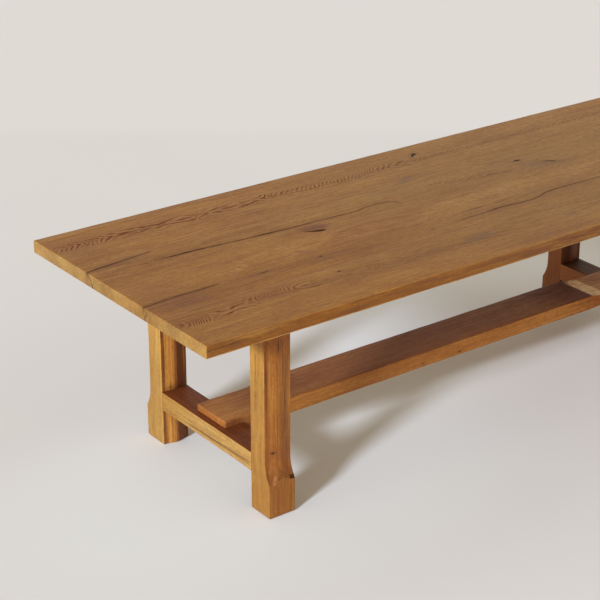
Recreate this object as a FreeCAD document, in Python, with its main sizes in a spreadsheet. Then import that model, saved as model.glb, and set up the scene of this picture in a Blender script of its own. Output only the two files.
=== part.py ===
import FreeCAD, Part
import math
import os
import Sketcher

# Trestle dining table of solid oak. Four wide planks, joined by hidden loose splines,
# lie on two trestles. Each trestle is a pair of shaped legs joined low down by a thick
# cross stretcher, and a long stretcher laps over both cross stretchers.
#
# Frame: millimetres, +X along the table, +Y from its front edge to its rear edge, +Z up.
# The origin is on the floor, under the middle of the top.

# Driving sizes, in millimetres.
SIZES = {
    # Top
    "table_height": 750.0,          # floor to the top's upper surface
    "top_length": 2600.0,
    "plank_width": 250.0,           # each of the four planks
    "top_thickness": 42.0,
    "top_arris": 2.0,               # easing of the top's outer edges
    "spline_thickness": 10.0,
    "spline_width": 30.0,           # half of it lies in each plank
    "spline_end_inset": 60.0,       # end of the top to the stopped groove
    # Trestles and legs
    "trestle_inset": 316.0,         # end of the top to the legs' end faces
    "foot_inset": 144.0,            # long edge of the top to the feet's outer faces
    "leg_width": 102.0,             # along the table
    "leg_depth": 98.0,              # outer face of the foot to the inner margins
    "leg_margin": 13.0,             # flat margin each side of a ridge
    "outer_ridge_offset": 57.0,     # leg's end face to the ridge on its outer side
    "outer_ridge_height": 10.0,
    "inner_ridge_offset": 52.0,     # leg's end face to the ridge on its inner side
    "inner_ridge_height": 12.0,
    "foot_height": 120.0,           # floor to the start of the scoop, at the corners
    "scoop_depth": 24.0,            # set-back of the upper leg from the foot's face
    "scoop_radius": 130.0,
    "foot_chamfer": 3.0,
    # Cross stretchers
    "rail_bottom": 135.0,           # floor to the underside
    "rail_height": 67.0,
    "rail_arris": 2.0,
    "tenon_thickness": 20.0,        # each of the twin tenons
    "tenon_spacing": 46.0,          # centre to centre
    "tenon_height": 45.0,
    "tenon_length": 55.0,
    "mortise_end_gap": 2.0,         # room for glue past the tenon's end
    "glue_gap": 0.1,                # round tenons and splines
    # Long stretcher
    "board_width": 174.0,
    "board_below_rail": 22.0,       # top of the cross stretcher down to the underside
    "board_step": 9.0,              # top of the tongue up to the top of the board
    "board_arris": 3.0,
    "tongue_thickness": 23.0,
    "tongue_shoulder": 4.0,         # the board's side face in to the tongue's
    "tongue_setback": 23.0,         # legs' end faces to the tongue's end
    "tongue_corner": 9.0,
    "ramp_offset": 103.0,           # cross stretcher's inner face to the foot of the ramp
    "ramp_length": 74.0,
    # Bearers, between the legs' heads and the top
    "bearer_width": 90.0,
    "bearer_height": 50.0,
    "bearer_edge_inset": 95.0,      # long edge of the top to the bearer's end
    "bearer_bevel": 25.0,
    "head_tenon_width": 60.0,       # along the table
    "head_tenon_depth": 44.0,
    "head_tenon_height": 36.0,
    # Screws, all driven from below
    "screw_diameter": 8.0,
    "screw_head": 16.0,
    "screw_head_height": 5.0,
    "screw_bite": 16.0,             # depth of a stretcher's screw in the tongue
    "top_screw_bite": 26.0,         # depth of a bearer's screw in the top
    "outer_screw_inset": 33.0,      # bearer's end to its outer screw
    "rail_screw_spread": 90.0,      # between the two screws of a cross stretcher
    "hole_gap": 0.2,                # shank to hole, on the radius
    "movement_gap": 2.0,            # the same in a bearer, where the top shrinks and swells
    "counterbore_diameter": 20.0,
    "counterbore_depth": 30.0,      # in a cross stretcher
    "bearer_counterbore_depth": 20.0,
}

# The four planks from the front edge to the rear edge.
PLANKS = ["top_plank_front", "top_plank_front_middle", "top_plank_rear_middle", "top_plank_rear"]
SPLINES = ["spline_front", "spline_middle", "spline_rear"]

# How far a cutting shape runs past the piece that it cuts.
OVERRUN = 20.0

# Two places closer than this are the same, when an edge is looked for.
SAME_PLACE = 0.01


class Size:
    """A length with the sheet expression that gives it."""

    def __init__(self, value, text):
        self.value = value
        self.text = text

    def __add__(self, other):
        other = as_size(other)
        return Size(self.value + other.value, f"({self.text} + {other.text})")

    def __sub__(self, other):
        other = as_size(other)
        return Size(self.value - other.value, f"({self.text} - {other.text})")

    def __mul__(self, other):
        other = as_size(other)
        return Size(self.value * other.value, f"({self.text} * {other.text})")

    def __truediv__(self, other):
        other = as_size(other)
        return Size(self.value / other.value, f"({self.text} / {other.text})")

    def __neg__(self):
        return self * -1


def as_size(number):
    return number if isinstance(number, Size) else Size(float(number), f"({float(number)})")


def root(size):
    return Size(math.sqrt(size.value), f"sqrt({size.text})")


def distance(first, second):
    across = as_size(first[0]) - second[0]
    along = as_size(first[1]) - second[1]
    return root(across * across + along * along)


doc = FreeCAD.newDocument("trestle_table")
sheet = doc.addObject("Spreadsheet::Sheet", "Sizes")
for row, (alias, number) in enumerate(SIZES.items(), start=1):
    sheet.set(f"A{row}", alias)
    sheet.set(f"B{row}", str(number))
    sheet.setAlias(f"B{row}", alias)
doc.recompute()
size = {alias: Size(float(sheet.get(alias)), f"Sizes.{alias}") for alias in SIZES}

# Places that several pieces share.
half_length = size["top_length"] / 2
half_width = size["plank_width"] * (len(PLANKS) / 2)
top_underside = size["table_height"] - size["top_thickness"]
leg_height = top_underside - size["bearer_height"]
trestle_end_x = half_length - size["trestle_inset"]
trestle_x = trestle_end_x - size["leg_width"] / 2
rail_inner_x = trestle_end_x - size["leg_width"]
rail_top = size["rail_bottom"] + size["rail_height"]
rail_middle_z = size["rail_bottom"] + size["rail_height"] / 2
foot_y = half_width - size["foot_inset"]
leg_inner_y = foot_y - size["leg_depth"]
leg_head_depth = (size["scoop_depth"] + size["leg_depth"]) / 2
bearer_end_y = half_width - size["bearer_edge_inset"]
screw_radius = size["screw_diameter"] / 2
hole_radius = screw_radius + size["hole_gap"]

# One screw from each bearer to each plank, from the front to the rear.
inner_screw_y = size["plank_width"] / 2
outer_screw_y = bearer_end_y - size["outer_screw_inset"]
top_screw_rows = [-outer_screw_y, -inner_screw_y, inner_screw_y, outer_screw_y]
rail_screw_rows = [size["rail_screw_spread"] / -2, size["rail_screw_spread"] / 2]


# ------------------------------------------------------------------ building blocks


def bind(target, prop, length):
    target.setExpression(prop, as_size(length).text)


def new_body(name, x=0, y=0, z=0, turn=0):
    body = doc.addObject("PartDesign::Body", name)
    body.Label = name
    up = FreeCAD.Vector(0, 0, 1)
    body.Placement = FreeCAD.Placement(FreeCAD.Vector(), FreeCAD.Rotation(up, turn))
    for letter, place in zip("xyz", (x, y, z)):
        bind(body, f"Placement.Base.{letter}", place)
    return body


def new_sketch(body, name, role, offset=0):
    """A sketch on one of the body's origin planes, moved along the plane's normal."""
    sketch = body.newObject("Sketcher::SketchObject", name)
    plane = [item for item in body.Origin.OriginFeatures if item.Role == role][0]
    sketch.AttachmentSupport = (plane, [""])
    sketch.MapMode = "FlatFace"
    bind(sketch, "AttachmentOffset.Base.z", offset)
    return sketch


def constrain(sketch, kind, items, length):
    index = sketch.addConstraint(Sketcher.Constraint(kind, *items, length.value))
    sketch.setExpression(f"Constraints[{index}]", length.text)


def pin_along(sketch, kind, geometry, point, length):
    """Holds a point of the sketch at its distance from the origin along one axis."""
    length = as_size(length)
    axis = -2 if kind == "DistanceX" else -1
    if length.value == 0:
        sketch.addConstraint(Sketcher.Constraint("PointOnObject", geometry, point, axis))
    elif length.value > 0:
        constrain(sketch, kind, (-1, 1, geometry, point), length)
    else:
        constrain(sketch, kind, (geometry, point, -1, 1), -length)


def pin(sketch, geometry, point, place):
    """Holds a point of the sketch at its distances from the sketch's origin."""
    pin_along(sketch, "DistanceX", geometry, point, place[0])
    pin_along(sketch, "DistanceY", geometry, point, place[1])


def vector(place):
    return FreeCAD.Vector(as_size(place[0]).value, as_size(place[1]).value, 0)


def draw_arc(sketch, start, end, centre):
    """Adds the shorter arc between two points, and says which of its ends is at start."""
    middle = vector(centre)
    angles = [math.atan2(p.y - middle.y, p.x - middle.x) for p in (vector(start), vector(end))]
    forward = (angles[1] - angles[0]) % (2 * math.pi) < math.pi
    if not forward:
        angles.reverse()
    circle = Part.Circle(middle, FreeCAD.Vector(0, 0, 1), distance(start, centre).value)
    geometry = sketch.addGeometry(Part.ArcOfCircle(circle, *angles), False)
    constrain(sketch, "Radius", (geometry,), distance(start, centre))
    return geometry, (1, 2) if forward else (2, 1)


def draw_outline(sketch, places, centres=None):
    """A closed outline. centres gives the centre of each arc by the number of its start."""
    centres = centres or {}
    drawn = []
    for number, start in enumerate(places):
        end = places[(number + 1) % len(places)]
        if number in centres:
            drawn.append(draw_arc(sketch, start, end, centres[number]))
        else:
            line = Part.LineSegment(vector(start), vector(end))
            drawn.append((sketch.addGeometry(line, False), (1, 2)))
    for number, (geometry, ends) in enumerate(drawn):
        before, before_ends = drawn[number - 1]
        meeting = Sketcher.Constraint("Coincident", before, before_ends[1], geometry, ends[0])
        sketch.addConstraint(meeting)
        pin(sketch, geometry, ends[0], places[number])


def draw_rectangle(sketch, low, high):
    corners = [low, (high[0], low[1]), high, (low[0], high[1])]
    draw_outline(sketch, corners)


def draw_circle(sketch, centre, radius):
    circle = Part.Circle(vector(centre), FreeCAD.Vector(0, 0, 1), radius.value)
    geometry = sketch.addGeometry(circle, False)
    pin(sketch, geometry, 3, centre)
    constrain(sketch, "Radius", (geometry,), radius)


def add_feature(body, kind, name, sketch, length, side="One side", turned=False):
    feature = body.newObject(f"PartDesign::{kind}", name)
    feature.Profile = sketch
    feature.SideType = side
    feature.Reversed = turned
    bind(feature, "Length", length)
    return feature


def pad(body, name, sketch, length, side="One side", turned=False):
    return add_feature(body, "Pad", name, sketch, length, side, turned)


def pocket(body, name, sketch, length, side="One side", turned=False):
    return add_feature(body, "Pocket", name, sketch, length, side, turned)


def edge_names(feature, wanted):
    """Names of the feature's edges that pass a test of their box."""
    doc.recompute()
    edges = enumerate(feature.Shape.Edges, start=1)
    return [f"Edge{number}" for number, edge in edges if wanted(edge)]


def ease(body, kind, name, feature, wanted, length):
    """Rounds or bevels the edges that pass a test."""
    names = edge_names(feature, wanted)
    eased = body.newObject(f"PartDesign::{kind}", name)
    eased.Base = (feature, names)
    bind(eased, "Radius" if kind == "Fillet" else "Size", length)
    return eased


def near(first, second):
    return abs(first - second) < SAME_PLACE


# ------------------------------------------------------------------ the top


def build_plank(number):
    """One plank, drawn from its own front edge and laid at its place in the top."""
    width = size["plank_width"]
    plank_y = width * number - half_width
    body = new_body(PLANKS[number], y=plank_y, z=top_underside)
    face = new_sketch(body, "plank_sketch", "XY_Plane")
    draw_rectangle(face, (-half_length, 0), (half_length, width))
    pad(body, "plank", face, size["top_thickness"])

    groove_end = half_length - size["spline_end_inset"]
    groove_half = size["spline_thickness"] / 2 + size["glue_gap"]
    middle_z = size["top_thickness"] / 2
    groove_depth = size["spline_width"] / 2 + size["glue_gap"]
    for seam in (0, 1):
        if number + seam in (0, len(PLANKS)):
            continue
        groove = new_sketch(body, f"groove_sketch_{seam}", "XZ_Plane", -(width * seam))
        draw_rectangle(groove, (-groove_end, middle_z - groove_half),
                       (groove_end, middle_z + groove_half))
        pocket(body, f"groove_{seam}", groove, groove_depth, turned=seam == 1)

    pilots = new_sketch(body, "pilot_sketch", "XY_Plane")
    for side in (-1, 1):
        draw_circle(pilots, (trestle_x * side, top_screw_rows[number] - plank_y), hole_radius)
    last = pocket(body, "pilot_holes", pilots, size["top_screw_bite"] + size["hole_gap"], turned=True)

    def outer_edge(edge):
        middle = edge.BoundBox.Center
        at_end = near(abs(middle.x), half_length.value)
        on_face = near(middle.z, 0) or near(middle.z, size["top_thickness"].value)
        front = number == 0 and near(middle.y, 0)
        rear = number == len(PLANKS) - 1 and near(middle.y, width.value)
        return (at_end and on_face) or ((front or rear) and (on_face or at_end))

    ease(body, "Chamfer", "outer_arris", last, outer_edge, size["top_arris"])


def build_spline(number):
    """A loose spline in the grooves of the two planks that meet above it."""
    body = new_body(SPLINES[number], y=size["plank_width"] * (number + 1) - half_width,
                    z=top_underside + size["top_thickness"] / 2)
    section = new_sketch(body, "spline_sketch", "YZ_Plane")
    half_across = size["spline_width"] / 2
    half_up = size["spline_thickness"] / 2
    draw_rectangle(section, (-half_across, -half_up), (half_across, half_up))
    length = (half_length - size["spline_end_inset"] - size["glue_gap"]) * 2
    pad(body, "spline", section, length, side="Symmetric")


# ------------------------------------------------------------------ the legs


def scoop_section(body, name, offset, depth):
    """Outline of what is cut from a leg above its foot, at one place across the leg."""
    radius = size["scoop_radius"]
    scoop = size["scoop_depth"]
    rise = root(radius * scoop * 2 - scoop * scoop)
    foot = size["foot_height"]
    top = leg_height + OVERRUN
    outside = depth - scoop - OVERRUN
    sketch = new_sketch(body, name, "YZ_Plane", offset)
    places = [(depth - scoop, foot), (depth, foot + rise), (depth, top), (outside, top), (outside, foot)]
    draw_outline(sketch, places, {0: (depth - radius, foot + rise)})
    return sketch


def build_leg(name, end_side, long_side):
    """A leg, drawn from the foot's outer corner at the table's end.

    end_side is -1 for the left trestle and 1 for the right one, long_side is -1 for
    a front leg and 1 for a rear leg. Legs on one diagonal are the same piece turned
    half round, and the other two are their mirror image.
    """
    hand = end_side * long_side
    body = new_body(name, x=trestle_end_x * end_side, y=foot_y * long_side,
                    turn=0 if long_side < 0 else 180)
    width = size["leg_width"]
    depth = size["leg_depth"]
    margin = size["leg_margin"]

    plan = new_sketch(body, "leg_plan", "XY_Plane")
    ridge = (size["inner_ridge_offset"], depth + size["inner_ridge_height"])
    places = [(0, 0), (width, 0), (width, depth), (width - margin, depth), ridge,
              (margin, depth), (0, depth)]
    draw_outline(plan, [(as_size(x) * hand, y) for x, y in places])
    pad(body, "leg_blank", plan, leg_height)

    set_back = size["scoop_depth"]
    ridge_depth = set_back - size["outer_ridge_height"]
    stations = [(as_size(-OVERRUN), set_back), (margin, set_back),
                (size["outer_ridge_offset"], ridge_depth), (width - margin, set_back),
                (width + OVERRUN, set_back)]
    sections = [scoop_section(body, f"scoop_section_{number}", offset * hand, section_depth)
                for number, (offset, section_depth) in enumerate(stations)]
    scoop = body.newObject("PartDesign::SubtractiveLoft", "scooped_outer_side")
    scoop.Profile = sections[0]
    scoop.Sections = sections[1:]
    scoop.Ruled = True

    gap = size["glue_gap"]
    housing = new_sketch(body, "housing_sketch", "YZ_Plane")
    draw_rectangle(housing, (depth, size["rail_bottom"] - gap),
                   (depth + size["inner_ridge_height"] + OVERRUN, rail_top + gap))
    pocket(body, "rail_housing", housing, (width + OVERRUN) * 2, side="Symmetric")

    mortises = new_sketch(body, "mortise_sketch", "XZ_Plane", -depth)
    half_thick = size["tenon_thickness"] / 2 + gap
    half_high = size["tenon_height"] / 2 + gap
    for side in (-1, 1):
        middle = (width / 2 + size["tenon_spacing"] / 2 * side) * hand
        draw_rectangle(mortises, (middle - half_thick, rail_middle_z - half_high),
                       (middle + half_thick, rail_middle_z + half_high))
    pocket(body, "mortises", mortises, size["tenon_length"] + size["mortise_end_gap"], turned=True)

    head = new_sketch(body, "head_tenon_sketch", "XY_Plane", leg_height)
    half_wide, half_deep = size["head_tenon_width"] / 2, size["head_tenon_depth"] / 2
    draw_rectangle(head, (width / 2 * hand - half_wide, leg_head_depth - half_deep),
                   (width / 2 * hand + half_wide, leg_head_depth + half_deep))
    last = pad(body, "head_tenon", head, size["head_tenon_height"])

    def on_floor(edge):
        return near(edge.BoundBox.ZMax, 0)

    ease(body, "Chamfer", "foot_bevel", last, on_floor, size["foot_chamfer"])


# ------------------------------------------------------------------ the stretchers


def build_cross_stretcher(name, end_side):
    """A cross stretcher, flush with the legs' end faces, with twin tenons at each end."""
    body = new_body(name, x=trestle_x * end_side)
    half_rail = size["leg_width"] / 2
    section = new_sketch(body, "rail_section", "XZ_Plane")
    draw_rectangle(section, (-half_rail, size["rail_bottom"]), (half_rail, rail_top))
    rail = pad(body, "rail", section, leg_inner_y * 2, side="Symmetric")

    def long_edge(edge):
        return edge.BoundBox.YLength > leg_inner_y.value

    ease(body, "Fillet", "rail_arris", rail, long_edge, size["rail_arris"])

    tenons = new_sketch(body, "tenon_section", "XZ_Plane")
    half_thick = size["tenon_thickness"] / 2
    half_high = size["tenon_height"] / 2
    for side in (-1, 1):
        middle = size["tenon_spacing"] / 2 * side
        draw_rectangle(tenons, (middle - half_thick, rail_middle_z - half_high),
                       (middle + half_thick, rail_middle_z + half_high))
    pad(body, "tenons", tenons, (leg_inner_y + size["tenon_length"]) * 2, side="Symmetric")

    for feature, radius, depth in (
        ("counterbores", size["counterbore_diameter"] / 2, size["counterbore_depth"]),
        ("screw_holes", hole_radius, size["rail_height"]),
    ):
        holes = new_sketch(body, f"{feature}_sketch", "XY_Plane", size["rail_bottom"])
        for y in rail_screw_rows:
            draw_circle(holes, (0, y), radius)
        pocket(body, feature, holes, depth, turned=True)


def build_long_stretcher():
    """The long stretcher: a plank that butts both cross stretchers, with a thinner tongue
    at each end lapped over them. A scooped ramp leads down to each tongue.
    """
    body = new_body("long_stretcher")
    tongue_x = trestle_end_x - size["tongue_setback"]
    ramp_foot_x = rail_inner_x - size["ramp_offset"]
    ramp_head_x = ramp_foot_x - size["ramp_length"]
    underside = rail_top - size["board_below_rail"]
    tongue_top = rail_top + size["tongue_thickness"]
    board_top = tongue_top + size["board_step"]
    run, step = size["ramp_length"], size["board_step"]
    ramp_radius = (run * run + step * step) / (step * 2)

    side_view = new_sketch(body, "board_side", "XZ_Plane")
    right_half = [(rail_inner_x, underside), (rail_inner_x, rail_top), (tongue_x, rail_top),
                  (tongue_x, tongue_top), (ramp_foot_x, tongue_top), (ramp_head_x, board_top)]
    left_half = [(-x, z) for x, z in reversed(right_half)]
    ramp_centre_z = tongue_top + ramp_radius
    centres = {4: (ramp_foot_x, ramp_centre_z), 6: (-ramp_foot_x, ramp_centre_z)}
    draw_outline(side_view, right_half + left_half, centres)
    pad(body, "board", side_view, size["board_width"], side="Symmetric")

    # Each tongue is a little narrower than the board, and its end corners are rounded.
    plan = new_sketch(body, "tongue_plan", "XY_Plane")
    half_board = size["board_width"] / 2
    half_tongue = half_board - size["tongue_shoulder"]
    corner = size["tongue_corner"]
    past_end = tongue_x + OVERRUN
    quarter = [(ramp_head_x, half_board), (ramp_head_x, half_board + OVERRUN),
               (past_end, half_board + OVERRUN), (past_end, half_tongue - corner),
               (tongue_x, half_tongue - corner), (tongue_x - corner, half_tongue),
               (ramp_foot_x, half_tongue)]
    for side_x in (-1, 1):
        for side_y in (-1, 1):
            places = [(x * side_x, y * side_y) for x, y in quarter]
            centre = ((tongue_x - corner) * side_x, (half_tongue - corner) * side_y)
            draw_outline(plan, places, {4: centre})
    pocket(body, "tongue_sides", plan, board_top * 2, turned=True)

    pilots = new_sketch(body, "pilot_sketch", "XY_Plane", rail_top)
    for side in (-1, 1):
        for y in rail_screw_rows:
            draw_circle(pilots, (trestle_x * side, y), hole_radius)
    last = pocket(body, "pilot_holes", pilots, size["screw_bite"] + size["hole_gap"], turned=True)

    def upper_edge(edge):
        box = edge.BoundBox
        above = box.ZMin > tongue_top.value - SAME_PLACE
        across = near(abs(box.Center.x), ramp_head_x.value) or near(abs(box.Center.x), ramp_foot_x.value)
        return above and not across

    ease(body, "Fillet", "board_arris", last, upper_edge, size["board_arris"])


# ------------------------------------------------------------------ bearers and screws


def build_bearer(name, end_side):
    """A bearer on the heads of a trestle's two legs, which carries the top."""
    body = new_body(name, x=trestle_x * end_side, z=leg_height)
    high, bevel = size["bearer_height"], size["bearer_bevel"]
    side_view = new_sketch(body, "bearer_side", "YZ_Plane")
    rear = [(bearer_end_y - bevel, 0), (bearer_end_y, bevel), (bearer_end_y, high)]
    front = [(-y, z) for y, z in reversed(rear)]
    draw_outline(side_view, rear + front)
    pad(body, "bearer", side_view, size["bearer_width"], side="Symmetric")

    mortises = new_sketch(body, "mortise_sketch", "XY_Plane")
    gap = size["glue_gap"]
    half_wide = size["head_tenon_width"] / 2 + gap
    half_deep = size["head_tenon_depth"] / 2 + gap
    for side in (-1, 1):
        middle = (foot_y - leg_head_depth) * side
        draw_rectangle(mortises, (-half_wide, middle - half_deep), (half_wide, middle + half_deep))
    pocket(body, "mortises", mortises, size["head_tenon_height"] + size["mortise_end_gap"], turned=True)

    for feature, radius, depth in (
        ("counterbores", size["counterbore_diameter"] / 2, size["bearer_counterbore_depth"]),
        ("screw_holes", screw_radius + size["movement_gap"], high),
    ):
        holes = new_sketch(body, f"{feature}_sketch", "XY_Plane")
        for y in top_screw_rows:
            draw_circle(holes, (0, y), radius)
        pocket(body, feature, holes, depth, turned=True)


def build_screws(name, rows, seat_z, length):
    """The screws of both trestles, their heads' undersides on seat_z, pointing up."""
    body = new_body(name, z=seat_z)
    for feature, radius, reach, below in (
        ("heads", size["screw_head"] / 2, size["screw_head_height"], True),
        ("shanks", screw_radius, length, False),
    ):
        sketch = new_sketch(body, f"{feature}_sketch", "XY_Plane")
        for side in (-1, 1):
            for y in rows:
                draw_circle(sketch, (trestle_x * side, y), radius)
        pad(body, feature, sketch, reach, turned=below)


# ------------------------------------------------------------------ assembly

for plank_number in range(len(PLANKS)):
    build_plank(plank_number)
for spline_number in range(len(SPLINES)):
    build_spline(spline_number)

for end_name, end in (("left", -1), ("right", 1)):
    build_leg(f"leg_front_{end_name}", end, -1)
    build_leg(f"leg_rear_{end_name}", end, 1)
    build_cross_stretcher(f"cross_stretcher_{end_name}", end)
    build_bearer(f"bearer_{end_name}", end)
build_long_stretcher()

bearer_seat = leg_height + size["bearer_counterbore_depth"]
build_screws("top_screws", top_screw_rows, bearer_seat,
             top_underside + size["top_screw_bite"] - bearer_seat)
rail_seat = size["rail_bottom"] + size["counterbore_depth"]
build_screws("stretcher_screws", rail_screw_rows, rail_seat,
             rail_top + size["screw_bite"] - rail_seat)
doc.recompute()

# ------------------------------------------------------------------ checks and files

for item in doc.Objects:
    if "Invalid" in item.State or "Error" in item.State:
        raise RuntimeError(f"{item.Name} failed: {item.State}")
    if item.TypeId == "PartDesign::Pocket" and item.Shape.Volume >= item.BaseFeature.Shape.Volume:
        raise RuntimeError(f"{item.Name} cuts nothing")

os.makedirs("parts", exist_ok=True)
for body in [item for item in doc.Objects if item.TypeId == "PartDesign::Body"]:
    if body.Shape.isNull() or not body.Shape.isValid():
        raise RuntimeError(f"{body.Label} has no valid shape")
    body.Shape.exportStep(f"parts/{body.Label}.step")
    box = body.Shape.BoundBox
    print(f"{body.Label}: {len(body.Shape.Solids)} solids, {body.Shape.Volume / 1000:.1f} cm3, "
          f"x {box.XMin:.1f} {box.XMax:.1f}, y {box.YMin:.1f} {box.YMax:.1f}, "
          f"z {box.ZMin:.1f} {box.ZMax:.1f}")
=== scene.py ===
import random
from math import cos, pi, radians, sin, sqrt

import bpy
import numpy as np
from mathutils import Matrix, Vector, noise


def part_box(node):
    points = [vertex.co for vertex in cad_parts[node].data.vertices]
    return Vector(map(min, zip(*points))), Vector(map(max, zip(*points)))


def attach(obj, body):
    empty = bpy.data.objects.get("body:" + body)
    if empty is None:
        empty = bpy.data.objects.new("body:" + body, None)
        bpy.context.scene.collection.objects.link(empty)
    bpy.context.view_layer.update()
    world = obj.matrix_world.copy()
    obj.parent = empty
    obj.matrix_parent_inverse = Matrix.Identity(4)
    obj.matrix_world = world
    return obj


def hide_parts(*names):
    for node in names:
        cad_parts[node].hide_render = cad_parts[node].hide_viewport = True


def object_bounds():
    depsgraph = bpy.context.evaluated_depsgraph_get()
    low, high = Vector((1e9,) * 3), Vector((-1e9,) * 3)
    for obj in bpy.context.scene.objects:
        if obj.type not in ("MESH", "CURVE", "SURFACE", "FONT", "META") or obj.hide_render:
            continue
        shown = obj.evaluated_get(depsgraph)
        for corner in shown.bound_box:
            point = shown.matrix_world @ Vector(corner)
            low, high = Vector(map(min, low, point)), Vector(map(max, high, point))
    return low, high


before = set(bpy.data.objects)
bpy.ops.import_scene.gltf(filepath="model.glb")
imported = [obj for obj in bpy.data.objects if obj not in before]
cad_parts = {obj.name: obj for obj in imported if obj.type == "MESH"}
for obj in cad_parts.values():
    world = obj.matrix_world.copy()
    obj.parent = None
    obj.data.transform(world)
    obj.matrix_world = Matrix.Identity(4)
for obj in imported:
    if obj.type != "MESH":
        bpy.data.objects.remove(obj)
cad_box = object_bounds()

# A long oak dining table on two trestles. Every wooden piece that shows is rebuilt here
# on its CAD piece's own box, with worn arrises, uneven hand-worked sides and real cracks.
# +X runs along the table, +Y from its front edge to its rear edge and +Z up.
#
# Sizes and places on the pieces are in millimetres, and materials, light and camera in
# metres. A place on the top is x from its left end and y from its front edge.

MM = 0.001
TOP_LENGTH, TOP_WIDTH, TOP_HEIGHT = [round((high - low) / MM) for low, high in zip(*cad_box)]
HALF_LENGTH = TOP_LENGTH / 2
HALF_WIDTH = TOP_WIDTH / 2


def srgb(code):
    """A screen colour, such as "ff8000", in the renderer's linear numbers."""
    levels = [level / 255 for level in bytes.fromhex(code)]
    return tuple(v / 12.92 if v <= 0.04045 else ((v + 0.055) / 1.055) ** 2.4 for v in levels) + (1,)


def wobble(place, length, seed):
    """Smooth unevenness between 0 and 1 along a piece. length is the size of its waves."""
    wave = 1.4 * noise.noise(Vector((place / length, seed * 3.7, 0.5)))
    return 0.5 + 0.5 * max(-1, min(1, wave))


# ---- materials

# The lightest and the darkest wood, and what lies on it.
TOP_OAK = (srgb("a6773a"), srgb("72441f"))
BASE_OAK = (srgb("b28646"), srgb("805226"))
FIGURE_LINE = srgb("6a3316")
FIGURE_GAP = srgb("ac8452")
FLECK = srgb("b6905c")
EDGE_STREAK = srgb("683a20")
VEIN = srgb("5c321a")
PORE = srgb("3a2214")
KNOT = srgb("281a12")
KNOT_HALO = srgb("5c3722")
END_LINE = srgb("4a2816")
# The next two also paint shade. The stain colour darkens the legs' shaded sides and scoops as well as the
# wood beside cracks. The crack colour is painted shade deep in the cracks and in each leg's scoop hollow.
STAIN_AND_SHADE_COLOUR = srgb("542e1c")
CRACK_DARK = srgb("1a0f09")
# Arrises are made paler by this: wear, with a painted highlight.
WORN_AND_HIGHLIT = (1.6, 1.5, 1.35, 1)


class Value:
    """The output of a node, which adds up and multiplies as a number does."""

    def __init__(self, shader, socket):
        self.shader = shader
        self.socket = socket

    def operator(operation):
        """A method that adds a math node for this operation."""
        return lambda self, other: self.shader.math(operation, self, other)

    __add__ = operator("ADD")
    __sub__ = operator("SUBTRACT")
    __mul__ = __rmul__ = operator("MULTIPLY")
    __truediv__ = operator("DIVIDE")


class Shader:
    """Short ways to add the nodes of a material or a world, its owner."""

    def __init__(self, owner):
        owner.use_nodes = True
        self.owner = owner
        self.tree = owner.node_tree
        self.tree.nodes.clear()

    def node(self, kind, inputs, **settings):
        """A new node. Each input is a Value to link or a plain number or colour."""
        node = self.tree.nodes.new("ShaderNode" + kind)
        for name, value in settings.items():
            setattr(node, name, value)
        for key, value in inputs.items():
            if isinstance(value, Value):
                self.tree.links.new(value.socket, node.inputs[key])
            else:
                node.inputs[key].default_value = value
        return node

    def value(self, kind, inputs, output=0, **settings):
        return Value(self, self.node(kind, inputs, **settings).outputs[output])

    def math(self, operation, *values):
        return self.value("Math", dict(enumerate(values)), operation=operation)

    def most(self, value, *others):
        """The greatest of some values."""
        for other in others:
            value = self.math("MAXIMUM", value, other)
        return value

    def span(self, value, low, high, to_low=0, to_high=1):
        """A smooth step from to_low at low to to_high at high."""
        inputs = {"Value": value, "From Min": low, "From Max": high, "To Min": to_low, "To Max": to_high}
        return self.value("MapRange", inputs, interpolation_type="SMOOTHSTEP")

    def join(self, x, y, z):
        return self.value("CombineXYZ", {"X": x, "Y": y, "Z": z})

    def parts(self, vector):
        return [Value(self, output) for output in self.node("SeparateXYZ", {0: vector}).outputs]

    def noise(self, vector, waves, detail=2, roughness=0.5):
        """Noise of about 0 to 1, with one frequency in waves a metre for each axis."""
        scaled = self.value("VectorMath", {0: vector, 1: waves}, operation="MULTIPLY")
        inputs = {"Vector": scaled, "Scale": 1, "Detail": detail, "Roughness": roughness}
        return self.value("TexNoise", inputs)

    def swing(self, vector, waves, reach, detail=2, roughness=0.5):
        """Noise about 0. reach is from its lowest to its highest."""
        return (self.noise(vector, waves, detail, roughness) - 0.5) * reach

    def curve(self, value, points):
        """A smooth curve through (place, height) points."""
        low, high = points[0][0], points[-1][0]
        base = min(height for _, height in points)
        reach = max(height for _, height in points) - base or 1
        node = self.node("FloatCurve", {"Value": (value - low) / (high - low)})
        spots = node.mapping.curves[0].points
        while len(spots) < len(points):
            spots.new(0.5, 0.5)
        for spot, (place, height) in zip(spots, points):
            spot.location = ((place - low) / (high - low), (height - base) / reach)
        node.mapping.update()
        return Value(self, node.outputs[0]) * reach + base

    def ramp(self, value, stops):
        node = self.node("ValToRGB", {"Fac": value})
        elements = node.color_ramp.elements
        while len(elements) < len(stops):
            elements.new(0.5)
        for element, (place, colour) in zip(elements, stops):
            element.position = place
            element.color = colour
        return Value(self, node.outputs[0])

    def mix(self, amount, first, second, kind="MIX"):
        inputs = {"Factor": amount, 6: first, 7: second}
        return self.value("Mix", inputs, 2, data_type="RGBA", blend_type=kind)

    def finish(self, colour, roughness, height, bump, specular=0.3, metallic=0):
        """The material itself. bump is how high its surface stands where height is 1."""
        normal = self.value("Bump", {"Height": height, "Distance": bump, "Strength": 1})
        inputs = {"Base Color": colour, "Roughness": roughness, "Normal": normal,
                  "Specular IOR Level": specular, "Metallic": metallic}
        self.node("OutputMaterial", {"Surface": self.value("BsdfPrincipled", inputs)})
        return self.owner


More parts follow.
